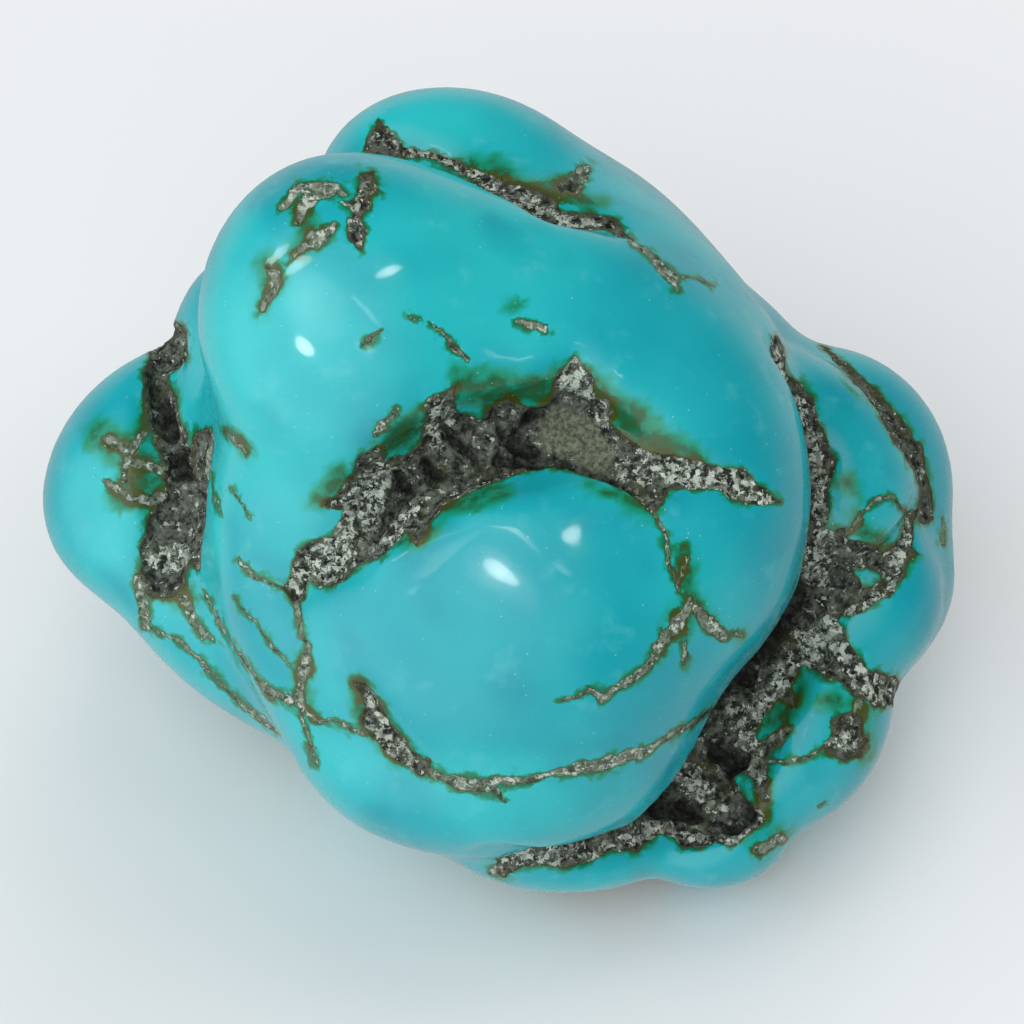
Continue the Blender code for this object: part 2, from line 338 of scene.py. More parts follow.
CREVICE = (
    (283, 590), (290, 573), (295, 555), (312, 540), (335, 535), (345, 512), (321, 503), (340, 492),
    (352, 475), (362, 455), (378, 447), (388, 462), (404, 456), (415, 447), (425, 425), (425, 405),
    (437, 395), (458, 383), (455, 400), (460, 414), (480, 420), (490, 405), (505, 400), (525, 408),
    (540, 410), (552, 400), (557, 380), (573, 356), (583, 365), (592, 380), (597, 398), (612, 400),
    (612, 425), (630, 440), (655, 452), (690, 462), (712, 466), (728, 470), (745, 468), (757, 485),
    (783, 502), (765, 503), (745, 507), (728, 497), (718, 487), (690, 489), (668, 489), (658, 505),
    (650, 515), (630, 500), (610, 487), (590, 478), (570, 470), (545, 468), (520, 473), (510, 483),
    (490, 493), (465, 495), (445, 505), (430, 525), (416, 547), (403, 528), (400, 538), (378, 560),
    (358, 565), (345, 580), (320, 588), (305, 583), (303, 600), (296, 608), (288, 600),
)

GULLY = (
    (922, 508), (915, 520), (912, 535), (912, 548), (922, 556), (908, 560), (905, 575), (895, 590),
    (880, 600), (862, 610), (840, 618), (836, 622), (850, 640), (858, 655), (868, 668), (880, 672),
    (900, 680), (898, 703), (882, 708), (872, 705), (862, 697), (852, 693), (838, 680), (826, 678),
    (815, 668), (803, 664), (796, 672), (790, 690), (797, 705), (800, 712), (790, 703), (778, 700),
    (768, 708), (760, 720), (757, 735), (765, 742), (775, 738), (790, 730), (783, 742), (772, 750),
    (765, 765), (768, 780), (773, 800), (757, 805), (762, 820), (757, 830), (745, 838), (735, 845),
    (715, 840), (700, 848), (685, 850), (675, 840), (660, 835), (645, 842), (640, 852), (610, 850),
    (590, 862), (560, 866), (520, 868), (505, 878), (490, 872), (498, 858), (484, 850), (480, 838),
    (500, 815), (560, 815), (600, 805), (615, 780), (620, 750), (665, 730), (700, 700), (745, 650),
    (775, 600), (795, 560), (800, 520), (820, 528), (832, 530), (845, 528), (850, 540), (860, 540),
    (878, 548), (882, 552), (895, 545), (903, 530), (905, 512),
)

RIGHT_GROOVE = (
    (762, 345), (778, 335), (785, 355), (787, 372), (800, 380), (812, 398), (818, 420), (828, 440),
    (838, 458), (832, 480), (830, 510), (822, 535), (800, 535), (795, 490), (790, 450), (775, 410),
    (765, 375),
)

HIP_PATCH = (
    (852, 712), (862, 718), (868, 740), (860, 757), (843, 760), (832, 755), (822, 745), (828, 735),
    (832, 718), (842, 714),
)

CHIN_PATCH = (
    (352, 680), (366, 684), (376, 700), (388, 718), (402, 738), (412, 752), (428, 762), (434, 774),
    (420, 776), (404, 764), (388, 752), (370, 740), (362, 722), (366, 706), (358, 692),
)

BROW_PATCH = (
    (358, 172), (374, 172), (377, 184), (382, 196), (370, 198), (368, 208), (360, 216), (366, 232),
    (362, 250), (350, 240), (346, 226), (352, 214), (348, 204), (360, 198), (362, 184),
)

FRONT_PATCHES = {"crevice": CREVICE, "chin patch": CHIN_PATCH, "brow patch": BROW_PATCH}
BACK_PATCHES = {"gully": GULLY, "right groove": RIGHT_GROOVE, "hip patch": HIP_PATCH}

# x, y and half-width of each point
FRONT_VEINS = {
    "crevice tail": ((297, 605, 4), (300, 630, 3), (308, 650, 3)),
    "crevice upper left": ((372, 438, 3), (380, 428, 5), (392, 415, 4), (400, 406, 2)),
    "thin vein": ((655, 515, 3), (664, 532, 3), (668, 548, 3), (671, 565, 3), (677, 592, 2.5)),
    "top vein": ((630, 238, 3), (645, 250, 4), (658, 262, 5), (670, 276, 5), (677, 290, 2.5)),
    "top hair": ((672, 276, 1.5), (700, 280, 2), (714, 287, 1.5)),
    "thin loop": ((683, 545, 2), (684, 560, 2.5), (683, 575, 2.5), (678, 583, 2)),
    "lower arc": (
        (690, 600, 3), (688, 607, 6), (680, 620, 7), (668, 635, 7), (660, 650, 6), (650, 665, 4),
        (635, 678, 5), (615, 690, 4), (600, 697, 5), (590, 690, 4), (575, 697, 2.5), (560, 702, 2),
    ),
    "arc branch": ((694, 608, 5), (705, 620, 6), (715, 628, 8), (726, 637, 6)),
    "arc dot": ((736, 632, 3), (741, 636, 2)),
    "arc dash": ((685, 643, 2.5), (687, 655, 4), (685, 666, 2)),
    "brow streak": ((283, 208, 4), (300, 188, 7), (315, 190, 8), (335, 190, 7), (345, 196, 3)),
    "brow drop": ((315, 193, 6), (305, 205, 7), (298, 220, 5)),
    "brow bridge": ((340, 203, 2), (350, 208, 3)),
    "brow lower": ((335, 223, 3), (325, 235, 6), (313, 242, 9), (303, 249, 5), (285, 262, 1.5)),
    "brow tail": ((266, 270, 4), (275, 275, 7), (273, 290, 5), (266, 302, 4), (261, 312, 2)),
    "dash a": ((383, 330, 2), (372, 340, 3.5), (362, 348, 2)),
    "dash b": ((408, 314, 1.5), (418, 319, 2.2)),
    "dash c": ((427, 320, 1.5), (440, 330, 2.8), (446, 338, 3), (456, 348, 5), (470, 361, 2)),
    "dash d": ((520, 323, 4), (532, 326, 6), (547, 330, 6)),
    "lower vein": (
        (432, 773, 5), (445, 780, 3), (460, 783, 7), (480, 785, 6), (500, 780, 5), (530, 780, 4),
        (550, 773, 4), (575, 770, 6), (600, 765, 7), (625, 758, 6), (645, 750, 6), (665, 738, 3),
        (690, 725, 4), (712, 712, 4),
    ),
    "lower spur": ((480, 786, 6), (495, 793, 5), (506, 801, 2)),
    "flank fork": (
        (308, 648, 4), (303, 668, 7), (299, 685, 3), (298, 700, 6), (308, 714, 3), (320, 722, 2.5),
        (340, 723, 2.5), (350, 730, 3), (362, 735, 2),
    ),
    "flank low": ((300, 703, 3), (303, 728, 3), (310, 750, 3), (314, 765, 3)),
    "flank vein a": (
        (203, 590, 2), (218, 620, 2.5), (235, 650, 2.5), (245, 665, 2.5), (260, 682, 3), (272, 695, 6),
        (290, 700, 6), (298, 702, 4),
    ),
    "flank hair c": ((235, 597, 1.8), (255, 620, 2), (270, 642, 2), (287, 665, 1.8)),
    "flank tick": ((240, 562, 3), (252, 573, 3), (265, 580, 2), (280, 588, 2.5), (287, 590, 2.5)),
    "flank hair d": ((232, 490, 1.6), (242, 506, 1.9), (250, 520, 1.4)),
    "flank tan": ((228, 432, 2), (236, 441, 3.5), (248, 452, 1.5)),
    "flank line": ((203, 445, 1.2), (210, 480, 1.4), (217, 500, 1.8), (222, 515, 1.0)),
}

# bands of matrix along the grooves behind
BACK_BANDS = {
    "left groove": (
        (172, 335, 14), (168, 352, 18), (157, 370, 13), (158, 390, 14), (162, 415, 15), (178, 455, 15),
        (183, 480, 17), (183, 505, 19), (175, 520, 25), (165, 550, 27), (162, 578, 22),
    ),
    "left groove deep": ((205, 440, 12), (208, 480, 14), (206, 520, 16), (200, 555, 14)),
    "top triangle": ((380, 121, 2), (382, 134, 10), (384, 147, 18), (386, 158, 20)),
    "top groove": (
        (400, 152, 4), (435, 158, 3), (470, 174, 5), (500, 187, 8), (530, 202, 14), (552, 214, 13),
        (580, 222, 9), (610, 224, 7), (626, 236, 4), (638, 245, 3),
    ),
    "top groove deep": ((410, 168, 4), (460, 188, 8), (520, 212, 14), (560, 225, 10)),
    "behind cheek": (
        (820, 345, 1.5), (850, 372, 4), (875, 398, 7), (895, 423, 9), (912, 450, 8), (922, 478, 6),
        (926, 515, 8),
    ),
}

BACK_VEINS = {
    "left ring a": ((107, 437, 5), (120, 445, 6), (130, 452, 5), (145, 432, 4)),
    "left ring b": ((130, 452, 5), (126, 465, 4), (125, 480, 4)),
    "left ring c": ((107, 480, 5), (120, 490, 4), (135, 500, 4), (160, 500, 8)),
    "left ring d": ((132, 462, 4), (150, 465, 6), (166, 470, 6)),
    "left foot": ((140, 580, 6), (143, 610, 6), (146, 625, 6)),
    "left low vein": (
        (146, 625, 3), (165, 635, 2.5), (180, 640, 2.5), (200, 660, 2.5), (225, 685, 2.5),
        (245, 705, 2.5), (262, 720, 2.5), (277, 733, 2.5),
    ),
    "left low branch": ((183, 598, 5), (195, 620, 5), (203, 632, 5), (215, 642, 2)),
    "top pit": ((563, 186, 6), (572, 186, 9), (582, 176, 9), (590, 166, 4)),
    "cheek loop": (
        (850, 535, 3), (862, 515, 3), (875, 503, 3), (890, 497, 3), (897, 504, 3), (904, 512, 3),
    ),
    "rear tick": ((942, 520, 3), (943, 540, 4)),
    "hip vein": ((824, 744, 3), (805, 758, 3), (790, 760, 3), (765, 761, 3)),
    "hip stalk": ((855, 714, 4), (859, 700, 4)),
    "toe tick": ((780, 838, 5), (770, 845, 7), (760, 850, 6)),
    "toe speck": ((816, 806, 2), (823, 803, 2)),
    "hip spur": ((765, 745, 5), (775, 738, 5), (784, 730, 4), (791, 729, 3)),
}

# the knob's bank, which cuts the crevice off cleanly
KNOB_RIM = (
    (430, 522), (444, 508), (462, 496), (486, 484), (512, 476), (545, 471), (575, 473), (600, 480),
    (625, 491), (645, 505), (656, 520), (640, 570), (540, 600), (450, 580), (424, 545),
)

# smooth turquoise or greenish islands inside the patches, as veins of no matrix
BACK_ISLANDS = {
    "gully green": ((858, 574, 6), (866, 578, 10), (876, 577, 6)),
    "toe green": ((741, 781, 6), (748, 790, 9), (756, 800, 6)),
    "left blue": ((187, 380, 4), (183, 398, 8), (187, 416, 5), (189, 428, 3)),
    "ring a": ((150, 437, 4), (146, 447, 7), (150, 455, 4)),
    "ring b": ((110, 462, 5), (116, 467, 5)),
    "ring c": ((138, 483, 5), (146, 488, 7), (156, 483, 5)),
    "top blue": ((560, 207, 3), (585, 206, 6), (612, 210, 4)),
}

# dark green to olive discolouration, as strokes
FRONT_STAINS = {
    "wedge": ((603, 398, 8), (620, 412, 17), (640, 426, 19), (662, 442, 13), (692, 455, 7)),
    "fork": ((303, 665, 8), (301, 700, 9), (318, 722, 5)),
    "peak right": ((588, 372, 4), (597, 388, 7), (606, 400, 7)),
    "upper bank": ((464, 384, 10), (488, 390, 14), (515, 392, 14), (545, 392, 13), (562, 374, 6)),
    "upper bank spill": ((458, 368, 5), (490, 376, 8), (520, 384, 8), (556, 384, 6)),
    "upper left": ((420, 408, 6), (405, 430, 12), (388, 446, 8)),
    "left end": ((318, 497, 7), (332, 488, 9), (346, 470, 5)),
    "lower bank": ((436, 508, 8), (470, 497, 9), (500, 486, 6)),
    "lower tongue": ((402, 520, 8), (414, 540, 10), (428, 528, 6)),
    "under knob": ((590, 484, 3), (625, 496, 5), (655, 508, 6)),
    "arc": ((687, 608, 8), (680, 625, 12), (668, 640, 8), (655, 660, 5)),
    "loop": ((683, 548, 5), (684, 575, 8), (690, 596, 6)),
    "branch": ((700, 612, 4), (722, 632, 6), (742, 636, 4)),
    "brow": ((266, 268, 7), (272, 288, 10), (264, 308, 5)),
    "brow top": ((362, 176, 4), (374, 186, 8), (370, 200, 6)),
    "brow mid": ((300, 210, 6), (312, 236, 8), (300, 250, 5)),
    "fleck": ((509, 303, 2), (515, 307, 3)),
    "chin": ((356, 690, 6), (372, 726, 12), (400, 752, 8)),
    "tan a": ((228, 432, 2), (240, 446, 3), (248, 452, 2)),
}
BACK_STAINS = {
    "left rings": ((102, 438, 13), (128, 446, 17), (142, 466, 22), (126, 488, 17), (158, 500, 13)),
    "left foot": ((150, 586, 9), (168, 590, 13), (184, 594, 9)),
    "left side": ((150, 395, 5), (148, 420, 8), (136, 436, 8)),
    "cheek": ((846, 482, 4), (852, 500, 5), (858, 522, 8), (850, 534, 6)),
    "top": ((460, 162, 5), (500, 176, 9), (535, 190, 10), (560, 196, 8)),
    "top pit": ((560, 180, 6), (580, 196, 9), (600, 200, 5)),
    "hip": ((765, 722, 8), (782, 712, 10), (800, 694, 8), (792, 668, 6)),
    "hip patch": ((826, 700, 5), (862, 700, 6), (864, 756, 6), (828, 750, 6)),
    "toe": ((770, 775, 6), (762, 812, 9), (745, 836, 6)),
    "toe tick": ((784, 834, 5), (760, 852, 7)),
    "rear band": ((862, 540, 4), (885, 546, 6), (905, 556, 6)),
}

# where the matrix is thick with silvery flecks, and level with the polish
SILVER = {
    "arm": ((300, 580, 16), (325, 562, 20), (355, 525, 24), (385, 470, 14)),
    "arm low": ((380, 545, 12), (405, 515, 12)),
    "notch": ((432, 402, 10), (444, 422, 14), (436, 440, 10)),
    "peak": ((573, 366, 9), (574, 382, 14), (590, 394, 10)),
    "peak right": ((604, 408, 8), (600, 425, 6)),
    "right arm": ((628, 470, 14), (650, 462, 16), (690, 474, 14), (738, 486, 14), (765, 496, 8)),
    "bank": ((488, 486, 6), (505, 478, 6)),
    "gully rim": ((700, 706, 10), (722, 694, 12), (745, 716, 10), (752, 745, 9), (757, 775, 8)),
    "gully top": ((800, 640, 8), (830, 640, 12), (850, 665, 10), (880, 690, 14)),
    "gully long": (
        (908, 530, 6), (890, 592, 8), (838, 624, 11), (802, 656, 13), (764, 700, 12), (742, 738, 10),
    ),
    "gully low": ((668, 838, 8), (690, 840, 8), (740, 838, 9), (760, 812, 7)),
    "gully inner": ((668, 768, 6), (700, 790, 8), (722, 806, 6)),
    "gully foot": ((612, 846, 6), (640, 838, 8), (668, 826, 7)),
    "hip": ((834, 738, 10), (850, 742, 12), (856, 728, 8)),
    "chin": ((366, 700, 8), (385, 738, 12), (412, 764, 8)),
    "left low": ((160, 560, 12), (178, 555, 12)),
    "toe low": ((500, 866, 8), (520, 858, 8), (600, 852, 6)),
    "brow": ((362, 190, 12), (322, 236, 14), (300, 196, 10)),
    "arc": ((670, 636, 10), (650, 664, 8), (600, 694, 8), (722, 632, 9)),
    "lower vein": ((460, 784, 8), (560, 772, 8), (640, 754, 8)),
    "groove": (
        (776, 356, 5), (798, 404, 7), (815, 450, 9), (822, 495, 8), (824, 540, 12), (815, 580, 9),
    ),
    "top": ((384, 134, 10), (570, 220, 8), (600, 226, 7)),
}

# overhung slits and pits in the matrix: sunk into the mesh, and painted near black as their shade
PAINTED_SHADE_PITS = {
    "slit": ((500, 456, 6), (530, 463, 8), (562, 466, 8), (600, 475, 9), (632, 488, 6)),
    "dark bank": ((554, 403, 3), (538, 412, 5), (524, 430, 5), (516, 446, 7), (535, 456, 6)),
    "pit a": ((402, 480, 6), (408, 492, 6)),
    "pit b": ((428, 468, 5), (434, 474, 5)),
    "crease": ((487, 404, 2), (498, 424, 4), (506, 440, 5)),
    "arm gap": ((395, 505, 4), (380, 522, 4), (372, 540, 3)),
    "notch gap": ((448, 436, 4), (462, 448, 5), (480, 462, 4)),
    "left pit": ((180, 455, 7), (184, 468, 8)),
    "top pit": ((568, 187, 6), (576, 182, 7)),
    "gully bank": ((806, 590, 8), (784, 630, 8), (752, 672, 8), (720, 708, 8), (692, 738, 7)),
    "gully hole a": ((646, 792, 9), (664, 786, 11), (660, 808, 10), (690, 812, 10)),
    "gully hole b": ((722, 752, 8), (734, 764, 11), (730, 782, 8)),
    "gully hole c": ((745, 806, 7), (752, 822, 7), (728, 826, 6)),
    "gully hole d": ((600, 872, 6), (622, 864, 7), (644, 858, 6)),
    "groove hole": ((804, 430, 3), (812, 480, 4), (808, 520, 6)),
    "behind": ((150, 372, 5), (160, 400, 6), (172, 438, 6)),
}

# the matrix's smooth pale wall
WALL = {"wall": ((555, 416, 9), (558, 432, 19), (580, 438, 21), (598, 456, 14))}

FRONT_LOBES = ("crown", "face", "brow", "left flank", "chin", "knob")
BURIED_LOBES = ("core", "shoulder", "rear", "right side", "left side")
MARGIN = 30  # pixels past which a mark counts as far away
VEIN_TRIM = 1.1
RIM_STEEPNESS = 2.5
TURN = 3.0  # mm over which a lobe turns away from the camera
OVERHANG = 6  # pixels by which marks go on past the front lobes' turn
SHARED = 1.2  # mm to either side of where the front lobes meet the rest: both kinds of mark go there
# groove floors on the front lobes' blend: pixels across, pixels down, and the depth w that they stay under
SUNK = (((400, 640), (140, 248), 1.9), ((762, 860), (320, 420), -1.2))
UNSEEN = -0.35  # facing at which marks cast from the camera stop on the lobes behind
SIDE = -0.1  # facing below which flecks and pits are scattered, not placed
REAR = -0.12  # facing below which the rear's own matrix starts
FADE = {"stain": 8, "silver": 5, "wall": 2}  # pixels over which a mark fades in, to either side
EDGE_WAVER = ((1.1, 2.6), (0.4, 1.8))  # ripples that shake a mark's edge: size in mm, reach in pixels
STAIN_WAVER = ((1.6, 6), (0.5, 4))
GRAIN = 0.8
GRAIN_WAVER = 5

# the matrix out of sight, in mm: pools along the seams between lobes, and a web of threads
POOL = 0.25
POOL_SWELL = 1.1
POOL_FRAY = 0.3
POOL_SLOPE = 1.5
THREAD = 0.13
THREAD_FRAY = 0.1
WEB_SLOPE = 4.0
BARE_SLOPE = 3.0


def from_segment(x, y, x0, y0, x1, y1):
    """How far along a segment each pixel lies, 0 to 1, and its distance from it."""
    dx, dy = x1 - x0, y1 - y0
    along = np.clip(((x - x0) * dx + (y - y0) * dy) / (dx * dx + dy * dy), 0, 1)
    return along, np.hypot(x - x0 - along * dx, y - y0 - along * dy)


def outline_distance(x, y, outline):
    """Pixels inside an outline, negative outside it."""
    nearest = np.full(len(x), np.inf)
    inside = np.zeros(len(x), bool)
    for (x0, y0), (x1, y1) in zip(outline, (*outline[1:], outline[0])):
        nearest = np.minimum(nearest, from_segment(x, y, x0, y0, x1, y1)[1])
        crosses = (y0 > y) != (y1 > y)
        inside ^= crosses & (x < x0 + (y - y0) * (x1 - x0) / ((y1 - y0) or 1))
    return np.where(inside, nearest, -nearest)


def vein_distance(x, y, vein):
    """Pixels inside a vein of varying width, negative outside it."""
    best = np.full(len(x), -np.inf)
    for (x0, y0, r0), (x1, y1, r1) in zip(vein, vein[1:]):
        along, gap = from_segment(x, y, x0, y0, x1, y1)
        best = np.maximum(best, r0 + (r1 - r0) * along - gap)
    return best


def reach(distance, x, y, shapes):
    """Pixels inside the nearest of some shapes, negative outside them."""
    best = np.full(len(x), -float(MARGIN))
    for shape in shapes.values():
        corners = np.array(shape, float)
        low = corners[:, :2].min(axis=0) - MARGIN
        high = corners[:, :2].max(axis=0) + MARGIN
        near = (x > low[0]) & (x < high[0]) & (y > low[1]) & (y < high[1])
        best[near] = np.maximum(best[near], distance(x[near], y[near], shape))
    return best


LATTICE = np.random.default_rng(7).uniform(-1, 1, 4096)
SCATTER = (73856093, 19349663, 83492791)  # primes that scatter a cell's neighbours over the lattice
SEED_SHIFT = np.array((17.3, 5.1, 9.7))
OCTAVE_SHIFT = np.array((5.7, 0, 0))
OCTAVE_SHRINK = 2.1


def ripple(points, size, seed):
    """Smooth noise of about -1 to 1 at each point, in two octaves, with bumps of a size in mm."""
    total = np.zeros(len(points))
    share = 1.0
    for octave in range(2):
        at = points / size + (seed * SEED_SHIFT + octave * OCTAVE_SHIFT)
        cell = np.floor(at).astype(np.int64)
        part = at - cell
        fade = part * part * (3 - 2 * part)
        for corner in np.ndindex(2, 2, 2):
            i, j, k = ((cell + corner) * SCATTER).T
            value = LATTICE[(i ^ j ^ k) % len(LATTICE)]
            weight = np.prod(np.where(corner, fade, 1 - fade), axis=1)
            total += share * value * weight
        size /= OCTAVE_SHRINK
        share *= 0.5
    return total


def smooth_step(value, low, high):
    t = np.clip((value - low) / (high - low), 0, 1)
    return t * t * (3 - 2 * t)


def lobe_gaps(sketch):
    """Distances to the front lobes and to those behind, and how far the nearest seam is."""
    front, behind, nearest, second = np.full((4, len(sketch)), np.inf)
    for name, centre, radii, turn, _ in LOBES:
        gap = lobe_field(sketch, centre, radii, turn)
        if name in FRONT_LOBES:
            front = np.minimum(front, gap)
        else:
            behind = np.minimum(behind, gap)
        if name not in BURIED_LOBES:
            second = np.minimum(second, np.maximum(nearest, gap))
            nearest = np.minimum(nearest, gap)
    return front, behind, second - nearest


def unseen_marks(sketch, seam):
    """Matrix depth in mm on the sides that the camera doesn't see: in the seams, and as thin veins."""
    width = POOL + POOL_SWELL * ripple(sketch, 6.5, 11) + POOL_FRAY * ripple(sketch, 1.3, 12)
    pools = width - seam / POOL_SLOPE
    web = np.abs(ripple(sketch, 7.5, 13)) * WEB_SLOPE
    bare = np.maximum(0.1 - ripple(sketch, 9.0, 14), 0) * BARE_SLOPE
    threads = THREAD + THREAD_FRAY * ripple(sketch, 1.5, 15) - web - bare
    return np.maximum(pools, threads)


def shaken(pixel, sketch, ripples, seed):
    """Pixel values with ripples added, so that what is cast from them has a ragged edge."""
    for step, (size, strength) in enumerate(ripples):
        pixel = pixel + ripple(sketch, size, seed + step) * strength
    return pixel


def seen_matrix(facing, near, far, on_front, between):
    """Pixels inside the matrix: near marks on the front lobes, far ones on the rest and past the turn."""
    turned = facing * TURN * PIXELS
    ahead = np.maximum(np.minimum(near, turned + OVERHANG), np.minimum(far, -turned))
    behind = np.minimum(far, (facing - UNSEEN) * TURN * PIXELS)
    return np.where(between, np.maximum(ahead, behind), np.where(on_front, ahead, behind))


def stain_at(sketch, x, y, facing, on_front, rear_matrix):
    """Strength of the green stain, 0 to 1: placed strokes in front, and round the matrix behind."""
    uneven = shaken(0, sketch, STAIN_WAVER, 8)
    front = reach(vein_distance, x, y, FRONT_STAINS) + uneven
    back = reach(vein_distance, x, y, BACK_STAINS) + uneven
    placed = smooth_step(np.where(on_front, front, back), -FADE["stain"], FADE["stain"])
    rear = smooth_step(rear_matrix + 0.9 * ripple(sketch, 3.0, 16), -0.9, 0.2)
    return np.where(facing > 0, placed, rear * smooth_step(-facing, 0.05, 0.3))


def all_marks(sketch, normals):
    """How far each point faces the camera, and its marks: the matrix's depth in mm, the rest 0 to 1."""
    toward = np.array((0, 0, EYE)) - sketch
    toward /= np.linalg.norm(toward, axis=1, keepdims=True)
    facing = (normals * toward).sum(axis=1)
    across, down = pixels(sketch)
    x = shaken(across, sketch, EDGE_WAVER, 1)
    y = shaken(down, sketch, EDGE_WAVER, 3)
    front, behind, seam = lobe_gaps(sketch)
    sunk = np.zeros(len(x), bool)
    for (left, right), (top, low), depth in SUNK:
        sunk |= (x > left) & (x < right) & (y > top) & (y < low) & (sketch[:, 2] < depth)
    on_front = (front < behind) & ~sunk
    between = (np.abs(front - behind) < SHARED) & ~sunk

    near_patch = reach(outline_distance, x, y, FRONT_PATCHES)
    near_vein = reach(vein_distance, x, y, FRONT_VEINS) - VEIN_TRIM
    far_patch = reach(outline_distance, x, y, BACK_PATCHES)
    far_patch = np.maximum(far_patch, reach(vein_distance, x, y, BACK_BANDS))
    far_vein = reach(vein_distance, x, y, BACK_VEINS) - VEIN_TRIM
    knob_rim = outline_distance(*pixels(sketch), KNOB_RIM)
    near = np.minimum(np.maximum(near_patch, near_vein), -RIM_STEEPNESS * knob_rim)
    islands = reach(vein_distance, x, y, BACK_ISLANDS)
    far = np.minimum(np.maximum(far_patch, far_vein), -islands)
    rear_matrix = unseen_marks(sketch, seam)
    hidden = np.minimum(rear_matrix, -(facing - REAR) * TURN)
    matrix = np.maximum(seen_matrix(facing, near, far, on_front, between) / PIXELS, hidden)

    placed = facing > SIDE
    grain = ripple(sketch, GRAIN, 10) * GRAIN_WAVER
    silver = smooth_step(reach(vein_distance, x, y, SILVER) + grain, -FADE["silver"], FADE["silver"])
    rear_silver = smooth_step(ripple(sketch, 2.2, 17), -0.1, 0.3)
    on_vein = smooth_step(np.where(on_front, near_vein - near_patch, far_vein - far_patch), -3, 6)
    # the pits and slits: a depth for the mesh, and the share painted near black as painted shade
    pit_and_painted_shade = smooth_step(reach(vein_distance, x, y, PAINTED_SHADE_PITS) + grain, -5, 6)
    rear_pit_and_painted_shade = smooth_step(ripple(sketch, 1.9, 18), 0.2, 0.6)
    wall = smooth_step(reach(vein_distance, x, y, WALL) + grain * 0.5, -FADE["wall"], FADE["wall"])
    return facing, {
        "matrix": matrix,
        "stain": stain_at(sketch, x, y, facing, on_front, rear_matrix),
        "silver": np.where(placed, np.maximum(silver, 0.6 * on_vein), rear_silver),
        "pit_and_painted_shade": np.where(placed, pit_and_painted_shade, rear_pit_and_painted_shade),
        "wall": wall * on_front,
        "vein": np.where(placed, on_vein, smooth_step(-seam, -3.0, -1.5)),
    }


# ---- the mesh ----

# longest edge in mm, and the depths into a mark, in mm, between which edges are refined to it
SEEN_FINE = ((0.34, -0.2, 99.0), (0.18, -0.1, 99.0), (0.11, -0.04, 0.05))
HIDDEN_FINE = ((0.34, -0.15, 0.4), (0.18, -0.03, 0.06), (0.11, 9.0, 9.0))
HIDDEN = -0.15  # facing below which the camera sees nothing
STEP_DEPTH = 0.05  # mm, from the polish down to the matrix at its border
STEP_WIDTH = 0.14
CRUST_DEPTH = 0.28  # mm, how much lower the matrix lies where it isn't silvery
CRUST_WIDTH = 0.6  # mm in from its border by which the matrix has gone down so far
CRUST_RELIEF = 0.18
GRAIN_RELIEF = 0.12
PIT_DEPTH = 0.7
SILVER_LIFT = 0.75  # the share of the depth that silver fills up
WALL_EVENNESS = 0.8
FLAT = 0.02  # mm over the floor under which the foot is flat


def subdivide(mesh, wanted, longest):
    """Splits the edges of wanted points that are longer than longest."""
    bm = bmesh.new()
    bm.from_mesh(mesh)
    bm.verts.ensure_lookup_table()
    edges = [
        e
        for e in bm.edges
        if (wanted[e.verts[0].index] or wanted[e.verts[1].index]) and e.calc_length() > longest
    ]
    bmesh.ops.subdivide_edges(bm, edges=edges, cuts=1, use_grid_fill=True)
    bmesh.ops.triangulate(bm, faces=[f for f in bm.faces if len(f.verts) > 4])
    bm.to_mesh(mesh)
    bm.free()


def smoothed(mesh):
    bm = bmesh.new()
    bm.from_mesh(mesh)
    bmesh.ops.smooth_vert(
        bm, verts=bm.verts, factor=0.5, use_axis_x=True, use_axis_y=True, use_axis_z=True
    )
    bmesh.ops.recalc_face_normals(bm, faces=bm.faces)
    bm.to_mesh(mesh)
    bm.free()


def write_attribute(mesh, name, values):
    layer = mesh.attributes.new(name, "FLOAT", "POINT")
    layer.data.foreach_set("value", values.astype(np.float32))


def normals_of(mesh):
    flat = np.empty(3 * len(mesh.vertices))
    mesh.vertex_normals.foreach_get("vector", flat)
    return flat.reshape(-1, 3)


def marks_of(mesh):
    return all_marks(to_sketch(coordinates(mesh)), to_sketch(normals_of(mesh)))


def net_of(field):
    """A mesh of even quads on the stone's surface, before its marks."""
    points, quads = wrap_grid(field)
    mesh = bpy.data.meshes.new("stone")
    mesh.from_pydata(points.tolist(), [], quads.tolist())
    for _ in range(3):
        smoothed(mesh)
        place(mesh, settle(coordinates(mesh), field, 2))
    smoothed(mesh)
    return mesh


def refine(mesh):
    """Splits the mesh's edges on the marks, the most at their borders."""
    for (longest, low, high), (_, hidden_low, hidden_high) in zip(SEEN_FINE, HIDDEN_FINE):
        facing, marks = marks_of(mesh)
        matrix = marks["matrix"]
        seen = (matrix > low) & (matrix < high)
        hidden = (matrix > hidden_low) & (matrix < hidden_high)
        subdivide(mesh, np.where(facing > HIDDEN, seen, hidden), longest)
        smoothed(mesh)


def sink(mesh, marks):
    """Lowers the matrix under the polish, with its crust and pits, and stands the stone on the floor."""
    level = coordinates(mesh)
    rough = smooth_step(marks["matrix"], 0.0, STEP_WIDTH)
    inside = smooth_step(marks["matrix"], 0.0, CRUST_WIDTH)
    crust = ripple(level, 0.85, 5) * CRUST_RELIEF + ripple(level, 0.36, 6) * GRAIN_RELIEF
    depth = inside * CRUST_DEPTH * (1 - SILVER_LIFT * marks["silver"]) + marks["pit_and_painted_shade"] * inside * PIT_DEPTH
    lowered = rough * (STEP_DEPTH - crust * (1 - WALL_EVENNESS * marks["wall"])) + depth
    level = level - normals_of(mesh) * np.maximum(lowered, 0)[:, None]
    level = level - (*MIDDLE, FOOT)
    level[level[:, 2] < FLAT, 2] = 0
    place(mesh, level * MM)


